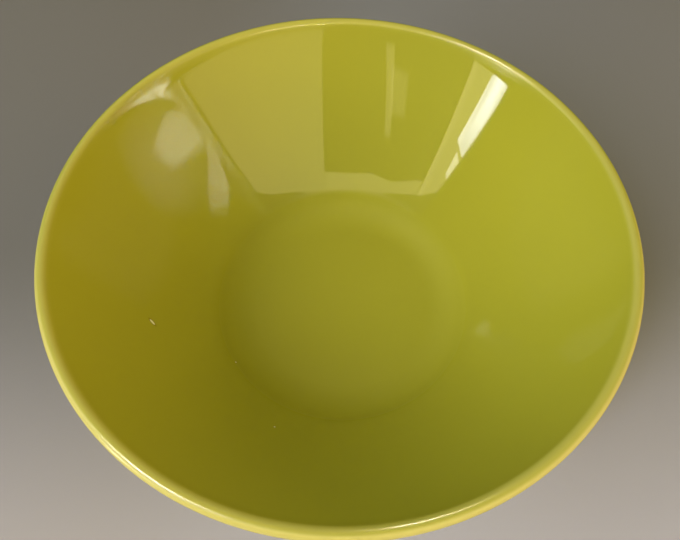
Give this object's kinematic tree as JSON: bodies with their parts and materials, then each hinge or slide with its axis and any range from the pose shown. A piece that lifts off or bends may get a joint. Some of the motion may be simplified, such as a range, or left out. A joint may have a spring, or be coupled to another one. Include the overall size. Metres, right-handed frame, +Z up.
{
  "type": "mixing bowl",
  "caption": "Round mixing bowl: flared wall curving up to a rolled rim bead, flat floor, and a foot whose undercut groove holds a non-slip rubber ring.",
  "frame": {"origin": "on the table, under the middle of the bowl: the centre of the rubber ring's tread", "axes": "+Z up along the bowl's axis of turning; X and Y lie in the table's plane, and the picture looks along +Y"},
  "size_m": [0.28, 0.28, 0.1143],
  "materials": {
    "lime_melamine": "glossy moulded melamine, coloured through",
    "grey_rubber": "matt moulded rubber"
  },
  "bodies": {
    "root": {"bowl_shell": "lime_melamine", "non_slip_ring": "grey_rubber"}
  },
  "joints": []
}
